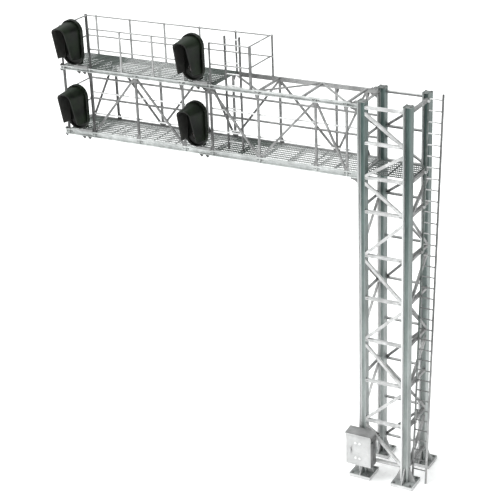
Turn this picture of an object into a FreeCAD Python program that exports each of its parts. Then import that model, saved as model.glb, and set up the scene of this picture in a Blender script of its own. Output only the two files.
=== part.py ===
import FreeCAD
import Part
import Sketcher
import math
import os

from FreeCAD import Placement, Rotation, Vector

# A 1:87 model of a cantilever signal bridge, in millimetres.
# The tower stands on the origin, the arm reaches out along -X, and the
# signal heads face -Y. Z is up, and z = 0 is the ground under the base plates.

SIZES = {
    # tower
    "tower_spacing": 12.25,
    "column_width": 2.1,
    "column_flange": 0.4,
    "column_web": 0.9,
    "column_top": 107.2,
    "base_plate": 6.2,
    "base_thickness": 1.0,
    "base_gusset_height": 3.9,
    "base_gusset_thickness": 0.3,
    "top_level": 105.9,
    "arm_panel": 9.2,
    "tower_panel": 12.13,
    "strut_height": 0.75,
    "strut_depth": 0.9,
    "strut_wall": 0.2,
    "rising_gap": 2.1,
    "falling_gap": 1.2,
    # arm
    "head_bay": 8.5,
    "outer_bay": 14.5,
    "inner_bay": 14.0,
    "wide_bay": 16.4,
    "root_bay": 8.6,
    "arm_length": 95.4,
    "arm_overhang": 1.3,
    "top_chord_height": 1.1,
    "bottom_chord_height": 1.6,
    "chord_outer": 6.5,
    "chord_width": 0.7,
    "chord_wall": 0.22,
    "post_width": 0.55,
    "brace_height": 0.55,
    "brace_depth": 0.35,
    "bearer_height": 0.6,
    "bearer_width": 0.5,
    "arm_gusset_width": 2.2,
    "arm_gusset_height": 2.8,
    "gusset_thickness": 0.25,
    # walkways
    "grating_thickness": 0.2,
    "grating_half_width": 5.6,
    "deck_half_width": 6.1,
    "deck_length": 48.0,
    "grating_bar": 0.3,
    "grating_pitch": 1.35,
    "grating_cell": 6.6,
    # railings
    "rail_radius": 0.2,
    "heavy_rail_radius": 0.3,
    "top_rail": 12.25,
    "middle_rail": 6.2,
    "upper_top_rail": 11.0,
    "upper_middle_rail": 5.4,
    "upper_post": 0.4,
    "corner_post": 0.7,
    # ladders
    "ladder_rail": 0.4,
    "ladder_depth": 0.55,
    "rung_radius": 0.17,
    "access_width": 4.35,
    "access_height": 30.9,
    "access_pitch": 3.1,
    "mast_ladder_width": 3.8,
    "mast_ladder_height": 108.2,
    "mast_ladder_pitch": 2.94,
    "mast_ladder_lean": 4.3,
    "clip_length": 0.5,
    "clip_wall": 0.2,
    "ladder_foot_gap": 1.1,
    # cabinet
    "cabinet_width": 7.4,
    "cabinet_depth": 2.8,
    "cabinet_height": 9.4,
    "cabinet_base": 5.0,
    "cabinet_wall": 0.35,
    "door_thickness": 0.4,
    "door_gap": 0.1,
    "hinge_radius": 0.27,
    "hinge_pin_radius": 0.12,
    "hinge_bore_radius": 0.17,
    # signal heads
    "plate_radius": 3.25,
    "plate_height": 12.5,
    "plate_depth": 1.2,
    "plate_recess": 0.6,
    "plate_rim": 0.3,
    "housing_half_width": 1.7,
    "housing_corner": 1.5,
    "housing_height": 11.2,
    "housing_depth": 1.3,
    "hood_wall": 0.25,
    "hood_base_half_width": 2.85,
    "hood_base_corner": 2.6,
    "hood_base_crown": 12.05,
    "hood_base_foot": 2.0,
    "hood_mouth_half_width": 2.0,
    "hood_mouth_corner": 1.5,
    "hood_mouth_crown": 11.5,
    "hood_mouth_foot": 2.8,
    "hood_length": 6.7,
    "hood_slant": 3.6,
    "lens_radius": 1.2,
    "lens_height": 0.35,
    "lens_pitch": 3.15,
    "pivot_radius": 0.3,
    "pivot_bore_radius": 0.35,
    "pivot_length": 1.9,
    "bracket_height": 0.7,
    "bracket_width": 0.7,
    "bracket_reach": 3.6,
    "stud_radius": 0.25,
    "stud_length": 0.7,
    "head_lift": 1.1,
}

doc = FreeCAD.newDocument("signal_mast")
sheet = doc.addObject("Spreadsheet::Sheet", "dim")
for row, (word, value) in enumerate(SIZES.items(), start=1):
    sheet.set("A%d" % row, word)
    sheet.set("B%d" % row, str(value))
    sheet.setAlias("B%d" % row, word)
doc.recompute()


def dim(word):
    """A driving dimension, read back from the sheet."""
    return float(sheet.get(word))


# Places that several sub-parts share, worked out from the sheet.
HALF_SPACING = dim("tower_spacing") / 2
FLANGE_FACE = HALF_SPACING + dim("column_width") / 2
INNER_FACE = HALF_SPACING - dim("column_width") / 2
BAY = 2 * INNER_FACE
WALKWAY_LEVEL = dim("top_level") - 2 * dim("arm_panel")
BOTTOM_CHORD_TOP = WALKWAY_LEVEL + dim("bottom_chord_height") / 2
TOP_CHORD_BOTTOM = dim("top_level") - dim("top_chord_height") / 2
TOP_CHORD_TOP = dim("top_level") + dim("top_chord_height") / 2
FLOOR_BOTTOM = WALKWAY_LEVEL + dim("strut_height") / 2
FLOOR_TOP = FLOOR_BOTTOM + dim("grating_thickness")
CHORD_INNER = dim("chord_outer") - dim("chord_width")
POST_CENTRE = dim("chord_outer") - dim("chord_width") / 2
RAIL_LINE = POST_CENTRE - dim("post_width") / 2 - dim("rail_radius")

BAYS = ("head_bay", "outer_bay", "outer_bay", "head_bay", "inner_bay", "wide_bay", "root_bay")
STATIONS = [-dim("arm_length")]
for bay_name in BAYS:
    STATIONS.append(STATIONS[-1] + dim(bay_name))

nodes = []


def node(thing, label):
    """Name a finished sub-part: its label is also the name of its file."""
    thing.Label = label
    nodes.append(thing)
    return thing


def block(size, corner, turn=None):
    """A box: its size is three formulas, its corner three numbers."""
    box = doc.addObject("Part::Box", "block")
    for side, formula in zip(("Length", "Width", "Height"), size):
        box.setExpression(side, formula)
    box.Placement = Placement(Vector(*corner), turn or Rotation())
    return box


def rod(radius, length, start, turn=None):
    """A round bar: formulas for radius and length, numbers for its start."""
    bar = doc.addObject("Part::Cylinder", "rod")
    bar.setExpression("Radius", radius)
    bar.setExpression("Height", length)
    bar.Placement = Placement(Vector(*start), turn or Rotation())
    return bar


def combine(kind, first, second):
    """A boolean of two shapes: Cut, Fuse or Common."""
    result = doc.addObject("Part::" + kind, kind.lower())
    result.Base = first
    result.Tool = second
    return result


def fuse_all(pieces):
    fused = doc.addObject("Part::MultiFuse", "fuse")
    fused.Shapes = pieces
    return fused


def group(pieces, label, place=None):
    """One node that holds several separate solids."""
    compound = doc.addObject("Part::Compound", "group")
    compound.Links = pieces
    compound.Placement = place or Placement()
    return node(compound, label)


ALONG_X = Rotation(Vector(0, 1, 0), 90)
ALONG_Y = Rotation(Vector(1, 0, 0), -90)
FACING_FRONT = Rotation(Vector(1, 0, 0), 90)


def rod_along_x(start_x, end_x, y, z, radius="dim.rail_radius"):
    return rod(radius, "%.4f" % (end_x - start_x), (start_x, y, z), ALONG_X)


def rod_along_y(start_y, end_y, x, z):
    return rod("dim.rail_radius", "%.4f" % (end_y - start_y), (x, start_y, z), ALONG_Y)


# ---------------------------------------------------------------- sketches

ARCH_KEYS = ("half_width", "corner", "crown", "foot")


def origin_plane(body, role):
    for feature in body.Origin.OriginFeatures:
        if feature.Role == role:
            return feature


def new_sketch(body, role, offset=0.0):
    sketch = body.newObject("Sketcher::SketchObject", "sketch")
    sketch.AttachmentSupport = [(origin_plane(body, role), "")]
    sketch.MapMode = "FlatFace"
    sketch.AttachmentOffset = Placement(Vector(0, 0, offset), Rotation())
    return sketch


def constrain(sketch, kind, *where):
    return sketch.addConstraint(Sketcher.Constraint(kind, *where))


def arch_sketch(body, offset, outline):
    """A round-shouldered outline on the XZ plane: flat top and foot, two quarter arcs.

    outline gives half_width, corner, crown and foot, each as a number and its formula.
    """
    sketch = new_sketch(body, "XZ_Plane", offset)
    width, corner, crown, foot = (outline[key][0] for key in ARCH_KEYS)
    flat, shoulder = width - corner, crown - corner
    up = Vector(0, 0, 1)
    top = sketch.addGeometry(Part.LineSegment(Vector(-flat, crown, 0), Vector(flat, crown, 0)))
    turn_right = sketch.addGeometry(Part.ArcOfCircle(
        Part.Circle(Vector(flat, shoulder, 0), up, corner), 0, math.pi / 2))
    right = sketch.addGeometry(Part.LineSegment(Vector(width, shoulder, 0), Vector(width, foot, 0)))
    base = sketch.addGeometry(Part.LineSegment(Vector(width, foot, 0), Vector(-width, foot, 0)))
    left = sketch.addGeometry(Part.LineSegment(Vector(-width, foot, 0), Vector(-width, shoulder, 0)))
    turn_left = sketch.addGeometry(Part.ArcOfCircle(
        Part.Circle(Vector(-flat, shoulder, 0), up, corner), math.pi / 2, math.pi))
    constrain(sketch, "Tangent", turn_right, 1, right, 1)
    constrain(sketch, "Tangent", turn_right, 2, top, 2)
    constrain(sketch, "Tangent", turn_left, 1, top, 1)
    constrain(sketch, "Tangent", turn_left, 2, left, 2)
    constrain(sketch, "Coincident", right, 2, base, 1)
    constrain(sketch, "Coincident", base, 2, left, 1)
    constrain(sketch, "Horizontal", top)
    constrain(sketch, "Vertical", right)
    constrain(sketch, "Vertical", left)
    constrain(sketch, "Symmetric", base, 1, base, 2, -2)
    constrain(sketch, "Equal", turn_right, turn_left)
    driven = {
        "half_width": constrain(sketch, "DistanceX", -1, 1, base, 1, width),
        "corner": constrain(sketch, "Radius", turn_right, corner),
        "crown": constrain(sketch, "DistanceY", -1, 1, top, 2, crown),
        "foot": constrain(sketch, "DistanceY", -1, 1, base, 1, foot),
    }
    for key in ARCH_KEYS:
        sketch.setExpression("Constraints[%d]" % driven[key], outline[key][1])
    return sketch


def sized(formula):
    """A size as a number with the formula that drives it, such as ("dim.x - 1")."""
    words = formula.replace("dim.", "").split()
    value = dim(words[0])
    if len(words) == 3:
        value -= float(words[2]) if words[2][0].isdigit() else dim(words[2])
    return value, formula


def slot_sketch(body, offset, radius, low, high, formulas):
    """A slot outline with two half circles, standing upright on the XZ plane."""
    sketch = new_sketch(body, "XZ_Plane", offset)
    upper, lower = high - radius, low + radius
    up = Vector(0, 0, 1)
    top = sketch.addGeometry(Part.ArcOfCircle(
        Part.Circle(Vector(0, upper, 0), up, radius), 0, math.pi))
    left = sketch.addGeometry(Part.LineSegment(
        Vector(-radius, upper, 0), Vector(-radius, lower, 0)))
    bottom = sketch.addGeometry(Part.ArcOfCircle(
        Part.Circle(Vector(0, lower, 0), up, radius), math.pi, 2 * math.pi))
    right = sketch.addGeometry(Part.LineSegment(
        Vector(radius, lower, 0), Vector(radius, upper, 0)))
    constrain(sketch, "Tangent", top, 2, left, 1)
    constrain(sketch, "Tangent", left, 2, bottom, 1)
    constrain(sketch, "Tangent", bottom, 2, right, 1)
    constrain(sketch, "Tangent", right, 2, top, 1)
    constrain(sketch, "PointOnObject", top, 3, -2)
    constrain(sketch, "Vertical", left)
    round_top = constrain(sketch, "Radius", top, radius)
    upper_height = constrain(sketch, "DistanceY", -1, 1, top, 3, upper)
    lower_height = constrain(sketch, "DistanceY", -1, 1, bottom, 3, lower)
    radius_formula, low_formula, high_formula = formulas
    sketch.setExpression("Constraints[%d]" % round_top, radius_formula)
    sketch.setExpression("Constraints[%d]" % upper_height,
                         "%s - (%s)" % (high_formula, radius_formula))
    sketch.setExpression("Constraints[%d]" % lower_height,
                         "%s + %s" % (low_formula, radius_formula))
    return sketch


def pad(body, sketch, length, reverse=False):
    feature = body.newObject("PartDesign::Pad", "pad")
    feature.Profile = sketch
    feature.setExpression("Length", length)
    feature.Reversed = reverse
    return feature


def pocket(body, sketch, length, reverse=False):
    feature = body.newObject("PartDesign::Pocket", "pocket")
    feature.Profile = sketch
    feature.setExpression("Length", length)
    feature.Reversed = reverse
    return feature


# ---------------------------------------------------------------- tower

def h_column(x, y, label):
    """An H-section: two flanges that face +X and -X, joined by a web."""
    flange_size = ("dim.column_flange", "dim.column_width",
                   "dim.column_top - dim.base_thickness")
    web_size = ("dim.column_width - 2 * dim.column_flange", "dim.column_web",
                "dim.column_top - dim.base_thickness")
    half = dim("column_width") / 2
    flange = dim("column_flange")
    left = block(flange_size, (-half, -half, 0))
    right = block(flange_size, (half - flange, -half, 0))
    web = block(web_size, (flange - half, -dim("column_web") / 2, 0))
    column = fuse_all([left, web, right])
    column.Placement = Placement(Vector(x, y, dim("base_thickness")), Rotation())
    return node(column, label)


def base_plate(x, y):
    half = dim("base_plate") / 2
    return block(("dim.base_plate", "dim.base_plate", "dim.base_thickness"),
                 (x - half, y - half, 0))


def base_gusset(x, y, start, turn):
    """An upright triangle from a column face out to the edge of its base plate."""
    wedge = doc.addObject("Part::Wedge", "gusset")
    toe = 0.25
    wedge.setExpression("Xmin", "%.4f" % start)
    wedge.setExpression("Xmax", "dim.base_plate / 2 - 0.15")
    wedge.setExpression("X2min", "%.4f" % start)
    wedge.setExpression("X2max", "%.4f" % (start + toe))
    wedge.setExpression("Ymin", "0")
    wedge.setExpression("Ymax", "dim.base_gusset_height")
    wedge.setExpression("Zmin", "-dim.base_gusset_thickness / 2")
    wedge.setExpression("Zmax", "dim.base_gusset_thickness / 2")
    wedge.setExpression("Z2min", "-dim.base_gusset_thickness / 2")
    wedge.setExpression("Z2max", "dim.base_gusset_thickness / 2")
    upright = Rotation(Vector(0, 0, 1), turn) * FACING_FRONT
    wedge.Placement = Placement(Vector(x, y, dim("base_thickness")), upright)
    return wedge


def tower_legs():
    plates = []
    gussets = []
    for side_x, word_x in ((-1, "left"), (1, "right")):
        for side_y, word_y in ((-1, "front"), (1, "back")):
            x, y = side_x * HALF_SPACING, side_y * HALF_SPACING
            h_column(x, y, "column_%s_%s" % (word_y, word_x))
            plates.append(base_plate(x, y))
            for turn in (0, 90, 180, 270):
                faces_flange = turn in (0, 180)
                start = dim("column_width" if faces_flange else "column_web") / 2
                gussets.append(base_gusset(x, y, start, turn))
    group(plates, "base_plates")
    group(gussets, "base_gussets")


def angle_bar(length, depth):
    """An L-section along X: a face leg and a leg that points inward (+Y) at its top."""
    outer = block((length, depth, "dim.strut_height"), (0, 0, 0))
    wall = dim("strut_wall")
    inner = block((length + " + 2", depth, "dim.strut_height"), (-1, wall, -wall))
    return combine("Cut", outer, inner)


def panel_levels():
    """Heights of the tower struts, from the top down."""
    levels = [dim("top_level") - step * dim("arm_panel") for step in range(4)]
    while levels[-1] - dim("tower_panel") > dim("base_gusset_height"):
        levels.append(levels[-1] - dim("tower_panel"))
    return levels


def tower_strut(level):
    strut = angle_bar("%.4f" % BAY, "dim.strut_depth")
    strut.Placement = Placement(Vector(-BAY / 2, 0, level - dim("strut_height") / 2), Rotation())
    return strut


def tower_diagonal(low, high, rises):
    """A sloping angle between two struts, its upper end held a little below the upper strut."""
    clear_low = low + dim("strut_height") / 2
    clear_high = high - dim("strut_height") / 2
    line_high = clear_high - dim("rising_gap" if rises else "falling_gap")
    rise = line_high - clear_low
    slope = math.degrees(math.atan2(rise, BAY)) * (-1 if rises else 1)
    length = math.hypot(rise, BAY) + 2
    bar = angle_bar("%.4f" % length, "dim.strut_depth - 0.2")
    to_middle = Placement(Vector(-length / 2, 0, -dim("strut_height") / 2), Rotation())
    middle = Placement(Vector(0, 0, (clear_low + line_high) / 2),
                       Rotation(Vector(0, 1, 0), slope))
    bar.Placement = middle * to_middle
    opening = block(("%.4f" % BAY, "dim.strut_depth", "%.4f" % (clear_high - clear_low)),
                    (-BAY / 2, 0, clear_low))
    return combine("Common", bar, opening)


# Panels without a diagonal, open to the walkway on the left and to the ladder on the right,
# and levels without a strut, both counted from the top.
OPEN_PANELS = {"left": (1,), "right": (0, 1)}
BARE_LEVELS = {"left": (4, 6, 8), "right": (1,)}


def strut_levels(label):
    """The levels at which one face of the tower has a strut."""
    bare = BARE_LEVELS.get(label, ())
    return [level for index, level in enumerate(panel_levels()) if index not in bare]


def face_members(label):
    """Struts and a zigzag of diagonals; the side faces zigzag opposite to the front and back."""
    levels = panel_levels()
    opposite = label in ("left", "right")
    members = [tower_strut(level) for level in strut_levels(label)]
    for step, (high, low) in enumerate(zip(levels, levels[1:])):
        if step not in OPEN_PANELS.get(label, ()):
            members.append(tower_diagonal(low, high, rises=(step % 2 == 1) != opposite))
    return members


def tower_bracing():
    for label, turn in (("front", 0), ("right", 90), ("back", 180), ("left", 270)):
        place = Placement(Vector(0, 0, 0), Rotation(Vector(0, 0, 1), turn))
        place = place * Placement(Vector(0, -FLANGE_FACE, 0), Rotation())
        group(face_members(label), "tower_bracing_" + label, place)


def ladder_rails(heights, spacing):
    """Two upright flat bars, the left one starting at x = 0, each from its own foot up."""
    rails = []
    for x, (foot, height) in zip((0, spacing), heights):
        size = ("dim.ladder_rail", "dim.ladder_depth", height)
        rails.append(block(size, (x, -dim("ladder_depth") / 2, foot)))
    return rails


def ladder_rungs(first, pitch, count, spacing):
    wall = dim("ladder_rail")
    return [rod("dim.rung_radius", "%.4f" % (spacing - wall),
                (wall, 0, first + step * pitch), ALONG_X) for step in range(count)]


def mast_ladder():
    """The long ladder, clipped by its left rail to the right face of the tower.

    Its right rail stands on the ground and its left rail stops above the base plate.
    """
    lean = math.radians(dim("mast_ladder_lean"))
    height = dim("mast_ladder_height")
    foot_y = -math.sin(lean) * height / 2
    place = Placement(Vector(FLANGE_FACE, foot_y, 0.05),
                      Rotation(Vector(1, 0, 0), -dim("mast_ladder_lean")))
    spacing = dim("mast_ladder_width")
    pitch = dim("mast_ladder_pitch")
    first = 3.8
    count = int((height - first - 0.5) / pitch) + 1
    heights = ((dim("ladder_foot_gap"), "dim.mast_ladder_height - dim.ladder_foot_gap"),
               (0, "dim.mast_ladder_height"))
    group(ladder_rails(heights, spacing), "mast_ladder_rails", place)
    group(ladder_rungs(first, pitch, count, spacing), "mast_ladder_rungs", place)
    clips = []
    for level in strut_levels("right"):
        along = (level - place.Base.z) / math.cos(lean)
        for side in (-1, 1):
            y = side * dim("ladder_depth") / 2 - (dim("clip_wall") if side < 0 else 0)
            clips.append(block(("dim.clip_length", "dim.clip_wall", "dim.strut_height - 0.1"),
                               (0, y, along - dim("strut_height") / 2 + 0.05)))
    group(clips, "mast_ladder_clips", place)


# ---------------------------------------------------------------- arm

def channel(height, start_x, length, side, level, label):
    """A chord: a channel that opens outward, with its web on the walkway side."""
    outer = block((length, "dim.chord_width", height), (start_x, 0, 0))
    wall = dim("chord_wall")
    hollow = block((length + " + 2", "dim.chord_width", height + " - 2 * dim.chord_wall"),
                   (start_x - 1, -wall, wall))
    chord = combine("Cut", outer, hollow)
    if side > 0:
        chord = doc_mirror(chord)
    chord.Placement = Placement(Vector(0, side * dim("chord_outer"), level), Rotation())
    return node(chord, label)


def doc_mirror(thing):
    """A copy reflected in the XZ plane."""
    mirror = doc.addObject("Part::Mirroring", "mirror")
    mirror.Source = thing
    mirror.Normal = Vector(0, 1, 0)
    return mirror


def chords():
    start_x = STATIONS[0] - dim("arm_overhang")
    length = "%.4f" % (-FLANGE_FACE - start_x)
    for side, word in ((-1, "front"), (1, "back")):
        channel("dim.top_chord_height", start_x, length, side,
                TOP_CHORD_BOTTOM, "top_chord_" + word)
        channel("dim.bottom_chord_height", start_x, length, side,
                BOTTOM_CHORD_TOP - dim("bottom_chord_height"), "bottom_chord_" + word)


def arm_post(x, side):
    half = dim("post_width") / 2
    height = "%.4f" % (TOP_CHORD_BOTTOM - BOTTOM_CHORD_TOP)
    return block(("dim.post_width", "dim.post_width", height),
                 (x - half, side * POST_CENTRE - half, BOTTOM_CHORD_TOP))


def flat_brace(low_corner, high_corner, rises, depth_centre):
    """A flat bar across one bay of the arm, cut off flush at the posts and chords."""
    span = high_corner[0] - low_corner[0]
    rise = high_corner[1] - low_corner[1]
    slope = math.degrees(math.atan2(rise, span)) * (-1 if rises else 1)
    length = math.hypot(rise, span) + 2
    half_depth = dim("brace_depth") / 2
    bar = block(("%.4f" % length, "dim.brace_depth", "dim.brace_height"), (0, 0, 0))
    to_middle = Placement(Vector(-length / 2, -half_depth, -dim("brace_height") / 2), Rotation())
    middle = Placement(Vector(low_corner[0] + span / 2, depth_centre, low_corner[1] + rise / 2),
                       Rotation(Vector(0, 1, 0), slope))
    bar.Placement = middle * to_middle
    opening = block(("%.4f" % span, "2 * dim.brace_depth", "%.4f" % rise),
                    (low_corner[0], depth_centre - 2 * half_depth, low_corner[1]))
    return combine("Common", bar, opening)


# Each letter is one bay from the tip: r rises towards the tower, f falls, - is open.
LACING = {"front": "-rf-frf", "back": "rfrfrfr"}


def arm_webs():
    half = dim("post_width") / 2
    posts = []
    braces = []
    for side, word in ((-1, "front"), (1, "back")):
        posts += [arm_post(x, side) for x in STATIONS]
        for bay, lean in enumerate(LACING[word]):
            if lean == "-":
                continue
            low = (STATIONS[bay] + half, BOTTOM_CHORD_TOP)
            high = (STATIONS[bay + 1] - half, TOP_CHORD_BOTTOM)
            braces.append(flat_brace(low, high, lean == "r", side * POST_CENTRE))
    group(posts, "arm_posts")
    group(braces, "arm_braces")


def cross_bar(x, z):
    """A bar from one chord's web to the other's."""
    half = dim("bearer_width") / 2
    return block(("dim.bearer_width", "%.4f" % (2 * CHORD_INNER), "dim.bearer_height"),
                 (x - half, -CHORD_INNER, z))


def plan_brace(start_x, end_x, z, falls):
    """A flat diagonal between two cross bars of the top lacing, seen from above."""
    half = dim("bearer_width") / 2
    low_x, high_x = start_x + half, end_x - half
    span, depth = high_x - low_x, 2 * CHORD_INNER
    slope = math.degrees(math.atan2(depth, span)) * (-1 if falls else 1)
    length = math.hypot(span, depth) + 2
    bar = block(("%.4f" % length, "dim.bearer_width", "dim.brace_depth"), (0, 0, 0))
    to_middle = Placement(Vector(-length / 2, -half, 0), Rotation())
    middle = Placement(Vector((low_x + high_x) / 2, 0, z), Rotation(Vector(0, 0, 1), slope))
    bar.Placement = middle * to_middle
    opening = block(("%.4f" % span, "%.4f" % depth, "2 * dim.brace_depth"),
                    (low_x, -CHORD_INNER, z - 0.1))
    return combine("Common", bar, opening)


def cross_members():
    """Floor bearers, the bars under the upper deck and the lacing beyond it."""
    floor_z = FLOOR_BOTTOM - dim("bearer_height")
    bearers = []
    for start, end in zip(STATIONS, STATIONS[1:]):
        bearers.append(cross_bar(start, floor_z))
        bearers.append(cross_bar((start + end) / 2, floor_z))
    group(bearers, "floor_bearers")

    top_z = TOP_CHORD_TOP - dim("bearer_height")
    lace_a, lace_b, lace_d = STATIONS[4], STATIONS[5], STATIONS[7]
    lace_c = (lace_b + lace_d) / 2
    lacing = [cross_bar(x, top_z) for x in STATIONS[:5] + [lace_b, lace_c, lace_d]]
    brace_z = TOP_CHORD_TOP - dim("brace_depth")
    lacing.append(plan_brace(lace_a, lace_b, brace_z, falls=True))
    lacing.append(plan_brace(lace_b, lace_c, brace_z, falls=False))
    lacing.append(plan_brace(lace_c, lace_d, brace_z, falls=True))
    group(lacing, "top_lacing")


def arm_gusset(side, z_top):
    """A curved knee plate in the corner between a chord and its column."""
    width, height = dim("arm_gusset_width"), dim("arm_gusset_height")
    thickness = dim("gusset_thickness")
    y = side * POST_CENTRE - thickness / 2
    corner = (-FLANGE_FACE - width, y, z_top - height)
    plate = block(("dim.arm_gusset_width", "dim.gusset_thickness", "dim.arm_gusset_height"),
                  corner)
    radius = max(width, height) - 0.25
    curve = rod("%.4f" % radius, "3 * dim.gusset_thickness",
                (corner[0] - 0.1, y - thickness, corner[2] - 0.2), ALONG_Y)
    return combine("Cut", plate, curve)


def arm_gussets():
    plates = []
    for side in (-1, 1):
        plates.append(arm_gusset(side, TOP_CHORD_BOTTOM))
        plates.append(arm_gusset(side, BOTTOM_CHORD_TOP - dim("bottom_chord_height")))
    group(plates, "arm_gussets")


# ---------------------------------------------------------------- walkways

def grating(start_x, end_x, half_width, z, label):
    """An open floor panel: bars along X, tied across at each grating cell."""
    length, width = end_x - start_x, 2 * half_width
    thickness, bar = dim("grating_thickness"), dim("grating_bar")
    rows = round((width - bar) / dim("grating_pitch"))
    columns = max(1, round((length - bar) / dim("grating_cell")))
    row_pitch = (width - bar) / rows
    column_pitch = (length - bar) / columns
    plate = Part.makeBox(length, width, thickness, Vector(start_x, -half_width, z))
    holes = []
    for row in range(rows):
        for column in range(columns):
            corner = Vector(start_x + bar + column * column_pitch,
                            -half_width + bar + row * row_pitch, z - thickness)
            holes.append(Part.makeBox(column_pitch - bar, row_pitch - bar,
                                      3 * thickness, corner))
    panel = doc.addObject("Part::Feature", "grating")
    panel.Shape = plate.cut(Part.makeCompound(holes))
    return node(panel, label)


def gratings():
    tip = STATIONS[0] - dim("post_width") / 2
    grating(tip, -FLANGE_FACE - 0.1, dim("grating_half_width"), FLOOR_BOTTOM, "lower_grating")
    inner_end = FLANGE_FACE - dim("strut_depth") + 0.1
    grating(-inner_end, inner_end, INNER_FACE - 0.1, FLOOR_BOTTOM, "tower_grating")
    grating(tip, tip + dim("deck_length"), dim("deck_half_width"), TOP_CHORD_TOP,
            "upper_grating")


# ---------------------------------------------------------------- railings

def lower_rails():
    """Two rails along each side and the tip, left out where the signal heads stand."""
    half = dim("post_width") / 2
    tip = STATIONS[0] - half
    heavy = dim("heavy_rail_radius")
    back_line = POST_CENTRE - half - heavy
    end_x = STATIONS[0] + half + dim("rail_radius")
    rails = []
    for height in (dim("top_rail"), dim("middle_rail")):
        z = WALKWAY_LEVEL + height
        rails.append(rod_along_x(tip, -FLANGE_FACE, back_line, z, "dim.heavy_rail_radius"))
        for start, end in ((STATIONS[1] - half, STATIONS[3] + half),
                           (STATIONS[4] - half, -FLANGE_FACE)):
            rails.append(rod_along_x(start, end, -RAIL_LINE, z))
        rails.append(rod_along_y(half - POST_CENTRE, back_line - heavy, end_x, z))
    group(rails, "lower_rails")


UPPER_FRONT_POSTS = (-86.5, -76.5, -66.5, -57.2, -49.1)
UPPER_BACK_POSTS = (-92.2, -81.2, -70.2, -59.2, -48.2)
UPPER_END_POST = -37.4


def upper_post(x, side, size="upper_post"):
    """A post of the upper railing, its outer face in line with the chord's."""
    half = dim("upper_post") / 2
    y = side * (dim("chord_outer") - half) - half
    sides = ("dim." + size, "dim.upper_post", "dim.upper_top_rail + dim.rail_radius")
    return block(sides, (x - dim(size) / 2, y, TOP_CHORD_TOP))


def upper_railing():
    """Posts and two rails round the upper deck, heavier at two opposite corners."""
    half = dim("upper_post") / 2
    thick = dim("corner_post") / 2
    radius = dim("rail_radius")
    tip = STATIONS[0] - dim("post_width") / 2 + half
    line = dim("chord_outer") - dim("upper_post") - radius
    posts = [upper_post(x, -1) for x in (tip,) + UPPER_FRONT_POSTS]
    posts.append(upper_post(UPPER_END_POST - half + thick, -1, "corner_post"))
    posts.append(upper_post(tip + half - thick, 1, "corner_post"))
    posts += [upper_post(x, 1) for x in UPPER_BACK_POSTS + (UPPER_END_POST,)]
    group(posts, "upper_posts")

    tip_line = tip + half + radius
    end_line = UPPER_END_POST - half - radius
    rails = []
    for height in (dim("upper_top_rail"), dim("upper_middle_rail")):
        z = TOP_CHORD_TOP + height
        rails.append(rod_along_x(tip + half, UPPER_END_POST + half, line, z))
        rails.append(rod_along_x(UPPER_FRONT_POSTS[0] - half, UPPER_FRONT_POSTS[3] + half,
                                 -line, z))
        rails.append(rod_along_x(UPPER_FRONT_POSTS[4] - half, UPPER_END_POST - half, -line, z))
        rails.append(rod_along_y(-line - radius, line - radius, tip_line, z))
        rails.append(rod_along_y(radius - line, line - radius, end_line, z))
    group(rails, "upper_rails")


ACCESS_LADDER_X = -46.35
ACCESS_LADDER_Y = -3.3


def access_ladder():
    """The short ladder from the lower walkway up through the end of the upper deck."""
    place = Placement(Vector(ACCESS_LADDER_X, ACCESS_LADDER_Y, FLOOR_TOP), Rotation())
    spacing = dim("access_width")
    count = int((dim("access_height") - 1) / dim("access_pitch")) + 1
    heights = ((0, "dim.access_height"), (0, "dim.access_height"))
    group(ladder_rails(heights, spacing), "access_ladder_rails", place)
    group(ladder_rungs(2.2, dim("access_pitch"), count, spacing), "access_ladder_rungs", place)


# ---------------------------------------------------------------- cabinet

CABINET_LEFT = -9.4
CABINET_BACK = -FLANGE_FACE - 0.25


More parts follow.
